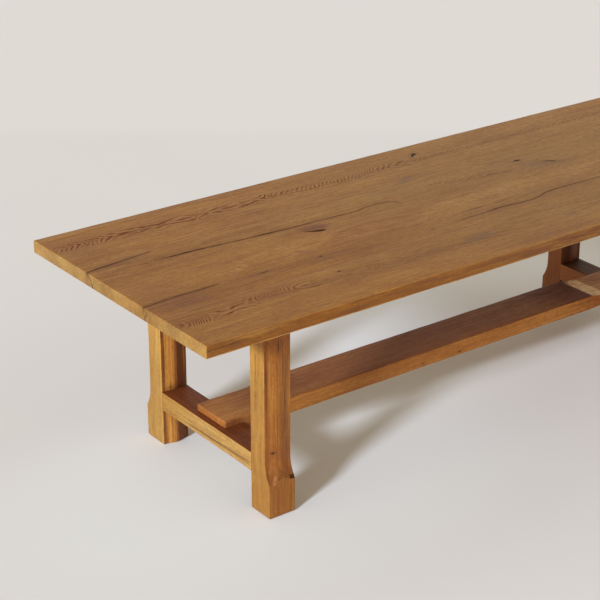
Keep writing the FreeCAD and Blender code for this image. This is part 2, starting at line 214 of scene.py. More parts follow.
class Wood(Shader):
    """The nodes of a wooden piece. It has places along and across its fibres and up from them."""

    def __init__(self, name, grain, seed):
        super().__init__(bpy.data.materials.new(name))
        axes = self.parts(self.value("TexCoord", {}, "Object"))
        first = "XYZ".index(grain)
        second, third = [number for number in range(3) if number != first]
        self.along, self.across, self.up = axes[first], axes[second], axes[third]
        self.solid = self.join(self.along + seed, self.across, self.up)
        self.flat = self.join(self.along, self.across, 0)
        self.facing = self.parts(self.value("TexCoord", {}, "Normal"))
        self.sides = [self.math("ABSOLUTE", way) for way in self.facing]
        self.end_grain = self.span(self.sides[first], 0.7, 0.95)

    def toward(self, axis, limits=(0.4, 0.95)):
        """1 on the sides that face along an axis, such as "X", or "-X" for one way only."""
        number = "XYZ".index(axis[-1])
        side = self.sides[number] if len(axis) == 1 else self.facing[number]
        return self.span(side * -1 if axis[0] == "-" else side, *limits)

    def paint(self, amount, colour, kind="MIX"):
        self.colour = self.mix(amount, self.colour, colour, kind)

    def levelled(self, way, levels, shown=1):
        """Make the wood lighter or darker along a way, by (place, level) pairs."""
        low, high = levels[0][0], levels[-1][0]
        stops = [((place - low) / (high - low), (*(level if isinstance(level, tuple) else (level,) * 3), 1))
                 for place, level in levels]
        self.paint(shown, self.ramp((way - low) / (high - low), stops), "MULTIPLY")


def blots(s, plane, marks):
    """For each oval mark, how far out of it a place is: 0 at its middle, about 1 at its rim."""
    ragged = s.swing(plane, (45, 110, 0), 1.3, 3, 0.6)
    for along, across, angle, length, width, *_ in marks:
        inputs = {"Vector": plane, "Location": (along, across, 0),
                  "Rotation": (0, 0, radians(angle)), "Scale": (length, width, 1)}
        local = s.value("Mapping", inputs, vector_type="TEXTURE")
        yield s.value("VectorMath", {0: local}, "Value", operation="LENGTH") + ragged


def stain(s, plane, marks, shown=1):
    for (*_, strength, tint), reach in zip(marks, blots(s, plane, marks)):
        s.paint(s.span(reach, 1.4, 0.2) * (strength * shown), tint)


def late_wood(s, pith, ring, seed):
    """The dark part of each growth ring, round a pith line."""
    out = s.across - pith[0] + s.swing(s.solid, (1.3, 3, 3), 0.03)
    deep = s.up - pith[1] + s.swing(s.solid, (2.1, 4, 4), 0.02)
    radius = s.math("SQRT", out * out + deep * deep)
    phase = (radius + s.swing(s.solid, (14, 50, 50), 0.004, 3)) / ring
    phase += s.noise(s.join(phase, 0, seed), (0.35, 0, 1), 1) * 1.6
    cycle = s.math("FRACT", phase)
    late = s.span(cycle, 0.35, 0.9) * s.span(cycle, 1, 0.93)
    return late * s.span(s.noise(s.solid, (1.6, 12, 12)), 0.35, 0.7, 0.2, 1)


def figure_lines(s, centres, half, hills, depth):
    """Nested arches along a board, where its growth rings come out through the surface.

    hills gives the height of the rings along the board, so steep runs make close arches
    and level ones make long streaks and loops.
    """
    low, high = hills[0][0], hills[-1][0]
    sway = s.swing(s.flat, (6.5, 0, 0), 1.1)
    aside = s.math("ABSOLUTE", (s.across - s.curve(s.along, centres)) / half + sway)
    jitter = s.swing(s.solid, (26, 45, 45), 1.5, 3, 0.6)
    cycle = s.math("PINGPONG", s.curve(s.along, hills) + jitter - aside * 1.15, 0.5)
    fade = s.span(s.along, low - 0.01, low + 0.03) * s.span(s.along, high + 0.01, high - 0.03)
    strength = s.span(s.noise(s.flat, (16, 70, 0), 3), 0.36, 0.62, 0.25, 1)
    zone = s.span(aside, 1.5, 0.7) * fade * (strength * depth)
    return s.span(cycle, 0.2, 0.42) * zone, s.span(cycle, 0.22, 0.06) * zone


def oak(name, grain, pith, *, shades=BASE_OAK, ring=0.004, contrast=0.35, streaks=0.8, veins=0.3, calm=0,
        seed=0, tones=(), lengthwise=(), face_levels=(), tints=(), figures=(), flecks=None, stains=(),
        edge_streaks=0, side_marks=(), knots=(), end_lines=()):
    """Oak with growth rings round a pith line, pores, fibres, arched figure, stains and knots.

    grain is the axis that the fibres follow. pith is a place on the two other axes and may
    lie outside the piece. ring is how far apart the rings are. calm is how much less streaky
    the sides are that face along X. tones and lengthwise are levels across and along the
    piece, face_levels are levels along the sides that face one way, and tints are colours
    for such sides; lengthwise, face_levels and tints are painted light and shade. stains and
    side_marks, for the sides that face along Y, are ovals of (along, across, angle, length,
    width, strength, tint); some stains are painted sheen and some painted shade. knots are
    the same with no tint. flecks are pale rays at (across, reach, angle).
    """
    s = Wood(name, grain, seed)
    late = late_wood(s, pith, ring, seed)

    # Fibres, pores, broad streaks and clouds.
    fibre = s.noise(s.solid, (9, 330, 330), 5, 0.65)
    pores = s.span(s.noise(s.solid, (38, 1150, 1150), 1), 0.58, 0.72) * (late + 0.35)
    cloud = s.noise(s.solid, (3, 11, 11), 3)
    lively = s.span(s.sides[0], 0.5, 0.95, 1, 1 - calm)
    coarse = s.span(s.along, -0.5, 0.9, 0.4, 1.1) if grain == "X" else 0.45
    detail = (fibre - 0.5) * 1.05
    for waves, reach, octaves, roughness in (((4.5, 140, 140), 0.7, 3, 0.6), ((85, 190, 190), 0.95, 3, 0.7),
                                             ((38, 80, 80), coarse, 2, 0.6)):
        detail += s.swing(s.solid, waves, reach, octaves, roughness)
    detail *= (lively * 0.4 + 0.6) * s.span(s.end_grain, 0, 1, 1, 0.7)
    blend = late * (s.end_grain * 0.3 + contrast) + detail + (cloud - 0.5) * 0.7
    blend += s.swing(s.solid, (1.4, 55, 55), streaks, 4, 0.6) * lively
    light, dark = shades
    middle = tuple(sqrt(a * b) for a, b in zip(light, dark))
    s.colour = s.ramp(blend + 0.38, [(0, light), (0.5, middle), (1, dark)])

    # Levels and tints of the sides, all painted light and shade but for tones, and arrises painted paler, as
    # wear with a painted highlight.
    if tones:
        s.levelled(s.across, tones)
    if lengthwise:
        s.levelled(s.along, lengthwise)
    for axis, levels in face_levels:
        s.levelled(s.along, levels, s.toward(axis))
    for axis, tint, *limits in tints:
        s.paint(s.toward(axis, *limits), (*tint, 1), "MULTIPLY")
    # Painted highlight, with wear, along the arrises.
    pairs = [s.math("MINIMUM", s.sides[number], s.sides[number - 1]) for number in range(3)]
    patchy = s.span(s.noise(s.solid, (12, 12, 12), 3), 0.35, 0.6, 0.3, 0.8)
    s.paint(s.span(s.most(*pairs), 0.42, 0.62) * patchy, WORN_AND_HIGHLIT, "MULTIPLY")

    # Figure and flecks.
    dull = 0
    for figure in figures:
        lines, gaps = figure_lines(s, *figure)
        dull = s.most(dull, lines * 0.8)
        s.paint(gaps * 0.28, FIGURE_GAP)
        s.paint(lines * 0.95, FIGURE_LINE)
    if flecks:
        place, reach, angle = flecks
        turned = s.value("Mapping", {"Vector": s.flat, "Rotation": (0, 0, radians(angle))})
        zone = s.span(s.math("ABSOLUTE", s.across - place), reach, 0.3 * reach)
        zone *= s.span(s.noise(s.flat, (5, 9, 0)), 0.42, 0.6)
        s.paint(s.span(s.noise(turned, (28, 150, 0), 3), 0.5, 0.68) * zone * 0.65, FLECK)

    # Stains, streaks, knots, veins and pores.
    stain(s, s.flat, stains)
    if edge_streaks:
        streak = s.span(s.noise(s.solid, (7, 75, 75), 4, 0.65), 0.45, 0.63)
        s.paint(streak * s.span(s.sides[1], 0.5, 0.95) * edge_streaks, EDGE_STREAK)
    if side_marks:
        stain(s, s.join(s.along, s.up, 0), side_marks, s.span(s.sides[1], 0.35, 0.8))
    knot_dark = 0
    for (*_, strength), reach in zip(knots, blots(s, s.flat, knots)):
        s.paint(s.span(reach, 3.4, 0.7) * (0.3 * strength), KNOT_HALO)
        knot_dark = s.most(knot_dark, s.span(reach, 1.25, 0.65) * strength)
    vein = s.span(s.noise(s.solid, (2.2, 130, 130)) + s.sides[1] * 0.06, 0.66, 0.78)
    s.paint(vein * veins * lively, VEIN)
    s.paint(pores * s.span(s.end_grain, 0, 1, 0.5, 0.25), PORE)
    s.paint(knot_dark, KNOT)
    for line, half in end_lines:
        aside = s.math("ABSOLUTE", s.across - s.curve(s.up, line))
        shown = s.span(aside, half, 0.3 * half) * s.end_grain * s.span(s.up, line[0][0], line[0][0] + 0.004)
        s.paint(shown * 0.9, END_LINE)

    # Cracks and the stain beside them, which the meshes carry, with painted shade deep in the cracks and, on
    # the legs, painted shade on their sides and in their scoops.
    stain_and_shade, crack = [s.value("Attribute", {}, "Fac", attribute_name=name) for name in ("stain", "crack")]
    ragged = s.span(s.noise(s.solid, (9, 60, 60), 3), 0.3, 0.7, 0.35, 1)
    s.paint(stain_and_shade * ragged, STAIN_AND_SHADE_COLOUR)
    s.paint(crack, CRACK_DARK)

    roughness = s.span(fibre, 0.3, 0.7, 0.5, 0.62) + pores * 0.2
    height = fibre * 0.25 + cloud * 0.2 - (pores * 0.6 + late * 0.2) - knot_dark
    dull = s.most(crack, stain_and_shade * 0.7, late * 0.3, dull, knot_dark)
    return s.finish(s.colour, roughness, height, 0.00022, specular=s.span(dull, 0, 1, 0.25, 0.03))


def zinc(name):
    """Zinc-plated steel with faint turning marks and dull patches."""
    s = Shader(bpy.data.materials.new(name))
    place = s.value("TexCoord", {}, "Object")
    patches = s.noise(place, (90, 90, 90), 4, 0.6)
    marks = s.noise(place, (60, 60, 4000))
    colour = s.ramp(patches, [(0.3, srgb("8a8882")), (0.7, srgb("bebdb8"))])
    return s.finish(colour, s.span(patches, 0.3, 0.7, 0.28, 0.5), marks, 0.00004, metallic=1)


# ---- mesh building

# Half of a crack's profile: share of its half width, and share of its depth.
CRACK_PROFILE = [(1, 0), (0.75, 0.3), (0.5, 0.65), (0.3, 0.9)]
CRACK_LIP = 1.5
CRACK_HALO = 8
LEAST_CRACK = 0.25
CORNER_STEPS = 3
POINT_MARGIN = 0.1


class Crack:
    """A crack along a piece: (place, centre, how far open) along its line, and its size."""

    def __init__(self, line, depth, width, lean=0, stain=0.5):
        self.line = np.array(line, float)
        self.depth = depth
        self.width = width
        self.lean = lean
        self.stain = stain

    def centre(self, place):
        return float(np.interp(place, self.line[:, 0], self.line[:, 1]))

    def open(self, place):
        """How far the crack is open at a place, from 0 to 1."""
        share = float(np.interp(place, self.line[:, 0], self.line[:, 2], left=0, right=0))
        return share * (0.6 + 0.4 * wobble(place, 22, self.depth))

    def points(self, place, at):
        """Distances along a side, depths below it, darkness and stain, at one station. The darkness is
        painted shade with dirt, darker deeper down.
        """
        openness = self.open(place)
        half = max(LEAST_CRACK, self.width / 2 * openness)
        deep = self.depth * openness
        fade = min(1, openness * 3)
        mark = self.stain * fade
        left = [(at - half - CRACK_LIP - CRACK_HALO, 0, 0, 0), (at - half - CRACK_LIP, 0, 0, mark)]
        left += [(at - half * wide, deep * down, fade * min(1, 0.45 + 2.5 * down), mark)
                 for wide, down in CRACK_PROFILE]
        right = [(2 * at - distance, *rest) for distance, *rest in reversed(left)]
        return [(distance + self.lean * (down / self.depth) ** 1.3, down, *rest)
                for distance, down, *rest in left + [(at, deep, fade, mark)] + right]


def side_points(start, end, cracks, place, count):
    """Points of one side of a section, from start towards end. The inside is to its left.

    count is how many points stand in each stretch between the ends and the cracks.
    """
    start, end = np.array(start, float), np.array(end, float)
    length = np.linalg.norm(end - start)
    ahead = (end - start) / length
    inward = np.array((-ahead[1], ahead[0]))
    rows = [crack.points(place, at) for crack, at in cracks]
    points = []
    low = 0
    for row in rows + [[]]:
        high = row[0][0] if row else length
        points += [(low + (high - low) * step / (count + 1), 0, 0, 0) for step in range(1, count + 1)]
        points += row
        low = row[-1][0] if row else length
    margin = POINT_MARGIN
    return [(*(start + ahead * min(max(distance, margin), length - margin) + inward * down), *rest)
            for distance, down, *rest in points]


def section(low, high, radii, sides, place):
    """Points round a rectangle with rounded corners, in millimetres, counterclockwise.

    sides holds, for the bottom, right, top and left sides, their cracks and how many
    points stand between them.
    """
    corners = np.array([(low[0], low[1]), (high[0], low[1]), (high[0], high[1]), (low[0], high[1])], float)
    ahead = np.array([(1, 0), (0, 1), (-1, 0), (0, -1)])
    points = []
    for number, (cracks, count) in enumerate(sides):
        following = (number + 1) % 4
        way, turn = ahead[number], ahead[following]
        near, far = radii[number], radii[following]
        end = corners[following] - way * far
        shifted = [(crack, at - near) for crack, at in cracks]
        points += side_points(corners[number] + way * near, end, shifted, place, count)
        for angle in np.linspace(0, pi / 2, CORNER_STEPS + 1):
            points.append((*(end + far * (turn + way * sin(angle) - turn * cos(angle))), 0, 0))
    return points


def arris_stations(low, high, radius, count):
    """Stations from end to end, with extra ones where the end arrises curve."""
    curve = [radius * (1 - cos(angle)) for angle in np.linspace(0, pi / 2, 4)]
    inner = np.linspace(low + radius, high - radius, count)[1:-1]
    return [low + step for step in curve] + list(inner) + [high - step for step in reversed(curve)]


def end_inset(place, low, high, radius):
    """How far the sides stand in where an end arris of this radius curves."""
    near = min(place - low, high - place)
    if near >= radius:
        return 0
    return radius - sqrt(max(0, radius * radius - (radius - near) ** 2))


def put(name, data):
    """A new object in the scene."""
    thing = bpy.data.objects.new(name, data)
    bpy.context.collection.objects.link(thing)
    return thing


def skin(node, rings, material):
    """A closed mesh through rings of (x, y, z, crack, stain), which stands for a CAD node. crack and stain
    are dark paint that holds both real stains and painted shade.
    """
    rings = np.array(rings, float)
    rings[[0, -1], :, 3:] = 0
    stations, around = rings.shape[:2]
    points = rings.reshape(-1, 5)
    number = np.arange(stations * around).reshape(stations, around)
    first, second = number[:-1], number[1:]
    quads = np.stack([first, np.roll(first, -1, 1), np.roll(second, -1, 1), second], axis=-1).reshape(-1, 4)
    faces = quads.tolist() + [number[0, ::-1].tolist(), number[-1].tolist()]
    mesh = bpy.data.meshes.new(node + "_worn")
    mesh.from_pydata((points[:, :3] * MM).tolist(), [], faces)
    for index, label in ((3, "crack"), (4, "stain")):
        layer = mesh.attributes.new(label, "FLOAT", "POINT")
        layer.data.foreach_set("value", np.ascontiguousarray(points[:, index]))
    mesh.shade_smooth()
    for cap in (mesh.polygons[-1], mesh.polygons[-2]):
        cap.use_smooth = False
    mesh.materials.append(material)
    mesh.update()
    piece = put(node + "_worn", mesh)
    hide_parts(node)
    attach(piece, "root")


def box_mm(node):
    low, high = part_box(node)
    return [value / MM for value in low], [value / MM for value in high]


def placed(origin, marks):
    """Marks in metres, from places and half sizes in millimetres and an origin in metres."""
    return [(origin[0] + along * MM, origin[1] + across * MM, angle, length * MM, width * MM, *looks)
            for along, across, angle, length, width, *looks in marks]


# ---- the top

TOP_ARRIS = 2
SEAM_ARRIS = 0.25
MIDDLE_ARRIS = 0.6
LOWER_ARRIS = 0.2
PLANK_STATIONS = 220

# Cracks in the upper face: x and y from the top's left end and front edge, and how open.
REAR_CRACK = Crack([(0, 661, 1), (45, 671, 1), (75, 673, 1), (150, 682, 1), (200, 687, 0.8),
                    (240, 690, 0.4), (262, 691, 0)], 32, 4.6, lean=27, stain=0.65)
LONG_CRACK = Crack([(205, 622, 0), (225, 621, 0.5), (262, 619, 0.7), (290, 618, 1.1), (330, 618, 1.5),
                    (355, 617, 1.4), (420, 612, 0.9), (530, 602, 0.75), (600, 598, 1.1), (660, 594, 1.5),
                    (700, 592, 1), (800, 588, 0.6), (900, 584, 0.75), (1000, 581, 0.65), (1050, 592, 0.5),
                    (1100, 595, 0.5), (1150, 588, 0.5), (1163, 575, 0.6), (1166, 552, 0)],
                   10, 5.2, stain=0.55)
GASH = Crack([(742, 535, 0), (756, 530, 0.4), (775, 521, 0.9), (795, 514, 1), (812, 512, 0.8),
              (822, 512, 0), (900, 516, 0)], 8, 13, stain=1)
FRONT_CRACK = Crack([(0, 335, 1), (60, 339, 1), (100, 343, 0.8), (180, 344, 1), (260, 347, 0.8),
                     (285, 346, 0), (900, 400, 0)], 24, 3.6, lean=6, stain=0.65)
FAR_CRACK = Crack([(0, 270, 0), (1160, 317, 0), (1250, 310, 0.5), (1350, 313, 0.7), (1400, 318, 1.3),
                   (1450, 316, 1.2), (1500, 310, 1.1), (1555, 308, 0.7), (1600, 317, 0.6), (1640, 331, 0.9),
                   (1700, 337, 1.2), (1780, 335, 0.8), (1860, 333, 0.5), (2000, 330, 0)], 8, 4, stain=0.4)
EDGE_CRACK = Crack([(0, 24, 0.9), (45, 24.5, 1), (115, 27, 0.4), (150, 28, 0)], 7, 1.2, stain=0.35)

# Dark lines where the cracks run down the left end: height and y, and half their width.
REAR_LINE = ([(704, 627), (714, 629), (730, 636), (742, 648), (752, 657)], 4.5)
FRONT_LINE = ([(704, 328), (712, 327), (725, 324), (734, 317), (742, 321), (752, 329)], 3)

RED = srgb("70422a")
GREY = srgb("604a3a")
STREAK = srgb("4e2a16")
# Painted sheen: the far right of the top is made greyer, as a grazing reflection would.
FAR_SHEEN = (1900, 500, 0, 1100, 900, 0.3, srgb("846842"))
# Painted light and shade by which way a plank's sides face: its front and rear sides darker and redder, its
# ends paler.
TOP_SIDE_SHADE = (0.87, 0.73, 0.37)
FRONT_END_LIGHT = (1.22, 1.56, 1.8)
END_LIGHT = (1.14, 1.44, 1.64)


def build_plank(name, cracks, arrises, material):
    """A plank of the top. cracks run from the rear to the front, arrises are front and rear."""
    low, high = box_mm(name)
    outer_front = arrises[0] == TOP_ARRIS
    outer_rear = arrises[1] == TOP_ARRIS
    rings = []
    for x in arris_stations(low[0], high[0], TOP_ARRIS, PLANK_STATIONS):
        place = x + HALF_LENGTH
        inset = end_inset(x, low[0], high[0], TOP_ARRIS)
        front, rear = low[1], high[1]
        if outer_front:
            front += inset + 0.8 * wobble(place, 240, 1) + 0.3 * wobble(place, 35, 2)
        if outer_rear:
            rear -= inset + 0.8 * wobble(place, 260, 3)
        top = high[2] - inset
        worn = 0.6 + 0.9 * wobble(place, 70, 4)
        radii = [2 * arrises[0] * worn if outer_front else LOWER_ARRIS,
                 arrises[1] if outer_rear else LOWER_ARRIS,
                 arrises[1] * (worn if outer_rear else 1),
                 arrises[0] * (worn if outer_front else 1)]
        upper = [(crack, rear - (crack.centre(place) - HALF_WIDTH)) for crack in cracks]
        front_side = [(EDGE_CRACK, top - low[2] - EDGE_CRACK.centre(place))] if outer_front else []
        sides = [([], 6), ([], 3), (upper, 6), (front_side, 3)]
        ring = section((front, low[2] + inset), (rear, top), radii, sides, place)
        rings.append([(x, *point) for point in ring])
    skin(name, rings, material)


def make_plank(name, cracks, arrises, pith, tones, *, figures=(), stains=(), knots=(), side_marks=(),
               flecks=None, end_lines=(), seed=0):
    """A plank and its oak. pith is its y and its depth below the surface, and tones go by y.

    A figure is its centre line (x, y), half its width, its rings' heights (x, rings) and its
    strength. side_marks go by x and height, and all the other marks by x and y. A stain or
    side mark that names no colour is red.
    """
    # Each plank also gets the painted sheen on the far right of the top.
    stains, side_marks = [[(*mark, RED)[:7] for mark in marks] for marks in ([FAR_SHEEN, *stains], side_marks)]
    left, front = -HALF_LENGTH * MM, -HALF_WIDTH * MM
    wood = oak(
        name + "_oak", "X", (front + pith[0] * MM, (TOP_HEIGHT - pith[1]) * MM), shades=TOP_OAK,
        contrast=0.18, streaks=0.5, veins=0.4, edge_streaks=0.6, seed=seed,
        tints=[("Y", TOP_SIDE_SHADE), ("X", FRONT_END_LIGHT if name == "top_plank_front" else END_LIGHT)],
        tones=[(front + y * MM, level) for y, level in tones],
        figures=[([(left + x * MM, front + y * MM) for x, y in centres], half * MM,
                  [(left + x * MM, rings) for x, rings in hills], strength)
                 for centres, half, hills, strength in figures],
        flecks=flecks and (front + flecks[0] * MM, flecks[1] * MM, flecks[2]),
        stains=placed((left, front), stains), knots=placed((left, front), knots),
        side_marks=placed((left, 0), side_marks),
        end_lines=[([(z * MM, front + y * MM) for z, y in line], half * MM) for line, half in end_lines])
    build_plank(name, cracks, arrises, wood)


make_plank(
    "top_plank_front", [], (TOP_ARRIS, SEAM_ARRIS), (172, 120),
    [(0, (1.04, 1.02, 0.87)), (110, (0.99, 0.97, 0.82)), (160, (0.89, 0.87, 0.74)),
     (250, (0.96, 0.93, 0.79))],
    figures=[([(0, 160), (150, 162), (230, 166), (330, 180), (450, 178), (540, 172)], 26,
              [(0, 10.4), (35, 9.4), (150, 0.5), (270, 0.6), (360, 8.6), (455, 17), (540, 17.4)], 1),
             ([(540, 172), (800, 163), (1000, 153), (2600, 150)], 26,
              [(540, 17.4), (600, 17.8), (700, 17.4), (800, 22), (900, 21), (1050, 21.6), (1150, 22),
               (1600, 24), (2100, 22), (2600, 26)], 0.45)],
    stains=[(530, 168, 0, 130, 18, 0.3), (360, 175, 0, 90, 26, 0.25), (625, 110, 20, 30, 14, 0.3),
            (980, 150, 0, 80, 9, 0.35), (1180, 158, 8, 90, 20, 0.5, GREY),
            (1570, 132, -30, 42, 18, 0.3, GREY), (110, 73, 0, 60, 8, 0.25), (1330, 40, 0, 260, 50, 0.25)],
    # The first side mark is a pale line along the front side's lower arris: wear with a painted highlight.
    side_marks=[(0, 710, 0, 2600, 2.8, 0.7, srgb("cc984a")), (30, 716, 0, 70, 3, 0.6),
                (310, 717, 0, 80, 3.5, 0.6), (1475, 731, -5, 110, 1.8, 0.9, STREAK),
                (1350, 742, -3, 150, 3, 0.25), (820, 741, -5, 110, 5, 0.4),
                (180, 742, 0, 110, 7, 0.35, srgb("be8c46"))],
    knots=[(633, 205, 0, 6, 4, 0.8)], seed=1.3)
make_plank(
    "top_plank_front_middle", [FRONT_CRACK, FAR_CRACK], (SEAM_ARRIS, MIDDLE_ARRIS), (430, 400),
    [(250, (0.97, 0.93, 0.77)), (300, (0.88, 0.82, 0.64)), (350, (0.88, 0.82, 0.64)), (400, (1, 0.95, 0.77)),
     (440, (1.05, 1.01, 0.86)), (500, (1.05, 1.03, 0.91))],
    stains=[(110, 335, 0, 130, 22, 0.5), (130, 290, 0, 110, 35, 0.55), (420, 338, 0, 90, 10, 0.4),
            (640, 400, -40, 36, 14, 0.5), (655, 335, 0, 28, 10, 0.4), (640, 310, 0, 60, 12, 0.25),
            (820, 352, 4, 60, 9, 0.4), (1070, 357, 0, 40, 8, 0.4), (1340, 360, 0, 42, 8, 0.85),
            (1610, 388, 0, 18, 16, 0.3, GREY), (1700, 350, 0, 110, 16, 0.25), (1500, 300, 0, 220, 25, 0.2),
            (90, 420, 0, 120, 70, 0.3), (640, 322, 0, 180, 24, 0.28)],
    knots=[(445, 338, 5, 14, 3, 0.7), (662, 336, 0, 7, 3, 0.6), (1100, 300, 0, 8, 3, 0.5)],
    flecks=(430, 75, 62), end_lines=[FRONT_LINE], seed=5.1)
make_plank(
    "top_plank_rear_middle", [REAR_CRACK, LONG_CRACK, GASH], (MIDDLE_ARRIS, SEAM_ARRIS), (640, 400),
    [(500, (0.97, 0.96, 0.87)), (580, (0.92, 0.9, 0.8)), (650, (0.97, 0.99, 0.93)), (700, (1.03, 1.06, 1.04)),
     (750, 1)],
    figures=[([(15, 622), (420, 618)], 10, [(15, 8), (90, 4), (160, 0), (230, 0.5), (420, 0.6)], 1),
             ([(1340, 630), (1525, 597), (1710, 563)], 14, [(1340, 0), (1525, 9), (1710, 15)], 1.1)],
    stains=[(90, 668, 5, 130, 22, 0.5), (110, 622, 0, 90, 12, 0.45), (795, 545, -10, 62, 26, 1),
            (350, 560, 0, 160, 30, 0.15), (1200, 660, 0, 70, 18, 0.22, GREY),
            (1330, 720, 25, 70, 20, 0.4, GREY), (1165, 560, 90, 20, 7, 0.5),
            (1840, 560, -20, 110, 30, 0.3, GREY), (1610, 615, 0, 60, 10, 0.3)],
    knots=[(1790, 635, 0, 15, 6, 0.95), (1885, 560, -35, 26, 6, 0.7), (1580, 603, 40, 9, 4, 0.35),
           (1610, 585, 10, 12, 4, 0.35), (1690, 567, -30, 12, 3, 0.5)],
    end_lines=[REAR_LINE], seed=9.7)
make_plank(
    "top_plank_rear", [], (SEAM_ARRIS, TOP_ARRIS), (865, 120),
    [(750, 1), (830, 0.98), (870, 0.96), (930, 1.04), (1000, 1.07)],
    figures=[([(0, 878), (250, 879), (420, 869), (600, 868), (780, 871), (900, 866), (1000, 853), (1150, 846),
               (1250, 847), (1330, 858), (2000, 857), (2600, 857)], 25,
              [(0, 23.5), (110, 18), (235, 12.2), (300, 11.5), (420, 11), (520, 11.6), (570, 9.6), (610, 10),
               (700, 10.6), (790, 10), (880, 14), (1020, 21), (1200, 32), (1380, 42), (1470, 44)], 1.35),
             ([(1420, 858), (2000, 857), (2600, 857)], 12,
              [(1420, 0), (1700, 13), (1900, 20), (2200, 32), (2600, 44)], 1.1)],
    stains=[(75, 850, 0, 90, 70, 0.3), (730, 780, 0, 45, 25, 0.2, GREY), (330, 873, 0, 80, 6, 0.45),
            (480, 872, 0, 80, 4, 0.4), (690, 873, 0, 110, 5, 0.45), (1450, 852, 0, 400, 20, 0.15),
            (1700, 905, 0, 130, 8, 0.2)],
    knots=[(1533, 913, 15, 14, 7, 1), (1518, 901, 50, 16, 4, 0.85)], seed=14.9)

# ---- the legs

LEG_WIDTH = 102
LEG_DEPTH = 98
LEG_MARGIN = 13
OUTER_RIDGE = (57, 10)
INNER_RIDGE = (52, 12)
FOOT_INSET = 144
FOOT_HEIGHT = 120
SCOOP_DEPTH = 24
SCOOP_RADIUS = 130
SCOOP_EDGE = 1.2
LEG_ARRIS = 2
FOOT_ARRIS = 7.5
BLUNT = 15
SCOOP_TOP = FOOT_HEIGHT + sqrt(2 * SCOOP_RADIUS * SCOOP_DEPTH - SCOOP_DEPTH ** 2)
RAIL_JOINT = (130, 207)
# How far a leg's pith line lies from its middle along X and Y, in metres.
LEG_PITH = (0.09, 0.02)


def facet(x, ridge):
    """Height of a ridge's facets at a distance across the leg. The ridge itself is blunt."""
    place, height = ridge
    flat = float(np.interp(x, [LEG_MARGIN, place, LEG_WIDTH - LEG_MARGIN], [0, height, 0]))
    turn = height / (place - LEG_MARGIN) + height / (LEG_WIDTH - LEG_MARGIN - place)
    return flat - turn * max(0, BLUNT - abs(x - place)) ** 2 / (4 * BLUNT)


def foot_top(depth):
    """Where the scoop meets the foot's flat face, for the upper leg's set-back there."""
    return SCOOP_TOP - sqrt(2 * SCOOP_RADIUS * depth - depth ** 2)


def scoop(depth, z):
    """Set-back of the leg's outer side at a height."""
    if z >= SCOOP_TOP:
        return depth
    return max(0, depth - SCOOP_RADIUS + sqrt(max(0, SCOOP_RADIUS ** 2 - (SCOOP_TOP - z) ** 2)))


def leg_columns(ridge):
    """Places across a leg's side, closer together at its ridge and margins."""
    edges = [LEG_MARGIN, ridge[0], LEG_WIDTH - LEG_MARGIN]
    columns = set(np.linspace(LEG_ARRIS, LEG_WIDTH - LEG_ARRIS, 27))
    columns = {value for value in columns if min(abs(value - edge) for edge in edges) > 3}
    return sorted(columns | {edge + offset for edge in edges for offset in (-1.5, 0, 1.5)})


def band(value, low, high, soft):
    """1 between low and high, falling to 0 over soft outside them."""
    return max(0, min(1, 1 + (value - low) / soft, 1 + (high - value) / soft))


def outer_painted_shade(x, z, seed):
    """Painted shade on a leg's outer side: by its margins, below the top and in its scoop, deepest in the
    hollow at the scoop's end nearer the table's middle.
    """
    scoop_line = foot_top(SCOOP_DEPTH - facet(x, OUTER_RIDGE))
    if z <= scoop_line:
        return 0
    margin = 0.8 * band(x, 3, 9, 5) * band(z, 480, 720, 260) * wobble(z, 70, seed + 70)
    below_top = 0.5 * band(z, 700, 720, 45)
    hollow = band(x, 84, 102, 12) * band(z, scoop_line + 0.5, scoop_line + 9, 9)
    swept = band(x, 2, 100, 4) * band(z, scoop_line + 1, scoop_line + 12, 30)
    swept *= 0.5 + 0.4 * wobble(x, 16, seed + 80)
    curve = 0.8 * band(x, 2, 7, 5) * band(z, scoop_line, 185, 70)
    return max(margin, below_top, hollow, swept, curve)


def inner_painted_shade(x, z, seed):
    """Painted shade on a leg's inner side: by its margins, on the part beyond its ridge and where it meets
    the cross stretcher.
    """
    margin = 0.8 * band(x, 2, 11, 9) * (0.55 + 0.45 * wobble(z, 90, seed + 90))
    far_side = 0.85 * band(x, LEG_WIDTH - 10, LEG_WIDTH - 2, 9)
    far_side += 0.3 * band(x, INNER_RIDGE[0] + 8, LEG_WIDTH, 8)
    joint = 0.6 * band(z, 200, 212, 26) + 0.5 * band(z, 125, 138, 18)
    return min(1, max(margin, far_side, joint))


def leg_rows(height):
    """The rings of a leg from the floor up: what each belongs to, and its place in that."""
    return ([("arris", angle) for angle in np.linspace(0, pi / 2, 4)]
            + [("foot", share) for share in (0.12, 0.3, 0.5, 0.7, 0.88)]
            + [("edge", offset) for offset in (-SCOOP_EDGE, 0, SCOOP_EDGE)]
            + [("scoop", share) for share in np.linspace(0.1, 1, 11)]
            + [("upper", z) for z in np.linspace(SCOOP_TOP, height, 34)[1:]])


def row_height(row, start):
    """A ring's height, where the scoop starts at this height."""
    kind, value = row
    heights = {"arris": FOOT_ARRIS * (1 - cos(value)),
               "foot": FOOT_ARRIS + (start - FOOT_ARRIS - 1.5) * value,
               "edge": start + value,
               "scoop": start + SCOOP_EDGE + (SCOOP_TOP - start - SCOOP_EDGE) * value}
    return heights.get(kind, value)


def arc(x, y, radius, z, angles):
    """Points of a rounded arris, at angles in degrees round its centre."""
    turns = [radians(angle) for angle in angles]
    return [(x + radius * cos(turn), y + radius * sin(turn), z, 0, 0) for turn in turns]


